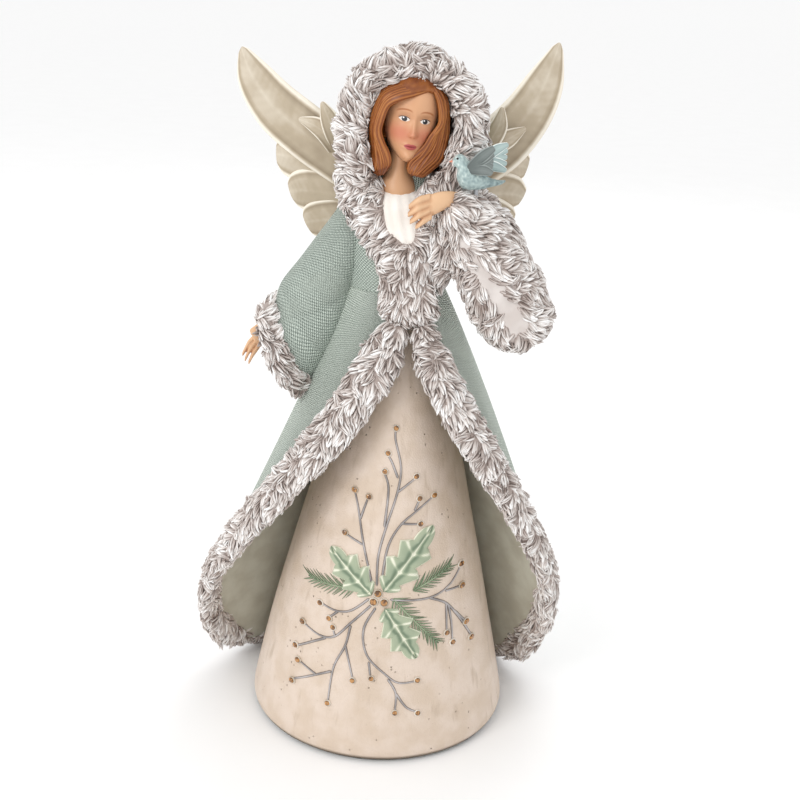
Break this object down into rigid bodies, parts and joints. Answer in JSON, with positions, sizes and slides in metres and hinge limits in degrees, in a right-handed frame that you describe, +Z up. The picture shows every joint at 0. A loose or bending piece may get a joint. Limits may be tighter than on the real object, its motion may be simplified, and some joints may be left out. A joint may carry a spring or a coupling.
{
  "type": "angel figurine",
  "caption": "Standing winter angel figurine with a hooded fur-trimmed coat, flared gown with a raised holly spray, feathered wings and a small bird on its forearm.",
  "frame": {"origin": "centre of the underside of the felt base pad, on the surface the figurine stands on", "axes": "+Z up along the figure, -Y the way the angel faces, +X towards the angel's left hand"},
  "size_m": [0.1759, 0.1355, 0.3195],
  "materials": {
    "gown_resin": "cream painted cast resin with fine pits",
    "coat_resin": "pale green painted resin with a pressed weave",
    "fur_resin": "white painted carved fur with a mauve-grey wash",
    "blouse_resin": "smooth white paint",
    "skin_resin": "satin painted skin tone",
    "hair_resin": "auburn painted carved hair",
    "wing_resin": "cream paint with a brown antique wash",
    "bird_resin": "blue-grey painted resin",
    "leaf_resin": "soft green paint with pearly edges",
    "pine_resin": "dull green paint",
    "twig_resin": "grey paint with a silver glaze",
    "gem": "faceted amber flat-back stone",
    "steel_pin": "cut wire",
    "plug_resin": "bare resin",
    "felt": "pressed felt"
  },
  "bodies": {
    "root": {"felt_pad": "felt", "base_plate": "plug_resin", "pour_plug": "plug_resin", "gown_shell": "gown_resin", "coat_skirt": "coat_resin", "front_trim_right": "fur_resin", "front_trim_left": "fur_resin", "back_hem_trim": "fur_resin", "coat_bodice": "coat_resin", "waist_fur": "fur_resin", "blouse": "blouse_resin", "lapel_right": "fur_resin", "lapel_left": "fur_resin", "sleeve_right": "coat_resin", "cuff_right": "fur_resin", "hand_right": "skin_resin", "sleeve_left": "fur_resin", "hand_left": "skin_resin", "hood_shell": "coat_resin", "hood_fur": "fur_resin", "head": "skin_resin", "hair": "hair_resin", "wing_right": "wing_resin", "wing_left": "wing_resin", "wing_pin_right": "steel_pin", "wing_pin_left": "steel_pin", "bird_body": "bird_resin", "bird_wing_near": "bird_resin", "bird_wing_far": "bird_resin", "bird_pin": "steel_pin", "holly_leaf_upper": "leaf_resin", "holly_leaf_side": "leaf_resin", "holly_leaf_lower": "leaf_resin", "pine_sprig_upper": "pine_resin", "pine_sprig_side": "pine_resin", "pine_sprig_lower": "pine_resin", "twigs": "twig_resin", "gems": "gem", "berries": "gem"}
  },
  "joints": []
}
